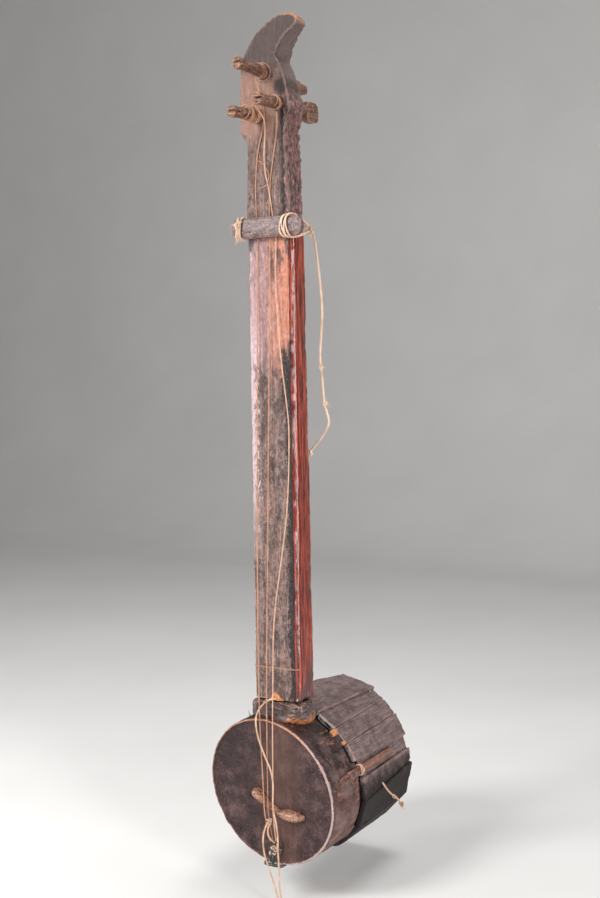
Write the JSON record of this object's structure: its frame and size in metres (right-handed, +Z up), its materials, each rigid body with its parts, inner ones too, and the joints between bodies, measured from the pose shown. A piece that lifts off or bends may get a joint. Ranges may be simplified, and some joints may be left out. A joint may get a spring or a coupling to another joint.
{
  "type": "long-necked lute",
  "caption": "Long-necked folk lute: flat dark neck with a hooked head and turning pegs, a tied nut bar, slack strings, and a hide-fronted drum of wooden staves.",
  "frame": {"origin": "middle of the neck's back, just below the tied nut bar, where a wall hook or cradle holds it", "axes": "+Z up the neck towards the head, +Y to the back, away from the playing face, +X to the right as seen from the front"},
  "size_m": [0.2405, 0.3263, 1.2809],
  "materials": {
    "lacquered_neck": "dark lacquer, worn through",
    "peg_wood": "hand polished",
    "bar_wood": "worn",
    "stave_wood": "grey, weathered",
    "wedge_wood": "raw, broken",
    "shell_wood": "dark, sooty",
    "saddle_wood": "worn",
    "bridge_wood": "pale, rubbed",
    "bamboo": "split, aged",
    "hide": "dried, smoky",
    "gut_string": "thin, worn",
    "twine": "twisted, dusty"
  },
  "bodies": {
    "lute": {"bamboo_slat": "bamboo", "drum_shell": "shell_wood", "face_cord": "twine", "foot_wedge": "wedge_wood", "hide_tab": "hide", "neck": "lacquered_neck", "neck_saddle": "saddle_wood", "neck_thread": "twine", "side_cord": "twine", "side_cord_knot": "twine", "skin_head": "hide", "skin_sleeve": "hide", "stave_01": "stave_wood", "stave_02": "stave_wood", "stave_03": "stave_wood", "stave_04": "stave_wood", "stave_05": "stave_wood", "stave_06": "stave_wood", "stave_07": "stave_wood", "stave_08": "stave_wood", "stave_09": "stave_wood", "stave_10": "stave_wood", "stave_11": "stave_wood", "stave_12": "stave_wood", "stave_13": "stave_wood", "stave_14": "stave_wood", "stave_15": "stave_wood", "stave_16": "stave_wood", "stave_wedges": "wedge_wood", "string_1": "gut_string", "string_2": "gut_string", "string_3": "twine", "string_hitch": "twine", "tab_binding": "twine", "tail_binding": "twine", "tail_knot": "twine", "tail_strand": "twine"},
    "upper_peg": {"peg_upper": "peg_wood", "winding_upper": "gut_string"},
    "middle_peg": {"peg_middle": "peg_wood", "winding_middle": "gut_string"},
    "lower_peg": {"peg_lower": "peg_wood", "winding_lower": "gut_string"},
    "tied_nut": {"nut_bar": "bar_wood", "nut_lashing_left": "twine", "nut_lashing_right": "twine", "nut_back_cord": "twine", "nut_twine": "twine", "nut_twine_knots": "twine"},
    "bridge": {"bridge": "bridge_wood"}
  },
  "joints": [
    {"name": "upper_peg_turn", "type": "hinge", "parent": "lute", "child": "upper_peg", "pos_m": [-0.0048, -0.04, 0.258], "axis": [0, -1, -0.0087], "continuous": true},
    {"name": "middle_peg_turn", "type": "hinge", "parent": "lute", "child": "middle_peg", "pos_m": [0.0175, -0.04, 0.212], "axis": [0, -0.9986, -0.0523], "continuous": true},
    {"name": "lower_peg_turn", "type": "hinge", "parent": "lute", "child": "lower_peg", "pos_m": [-0.014, -0.04, 0.197], "axis": [0, -0.9976, -0.0698], "continuous": true},
    {"name": "nut_slide", "type": "slide", "parent": "lute", "child": "tied_nut", "axis": [0, 0, 1], "range_m": [-0.01, 0.01]},
    {"name": "bridge_slide", "type": "slide", "parent": "lute", "child": "bridge", "axis": [0, 0, 1], "range_m": [-0.006, 0.006]}
  ]
}
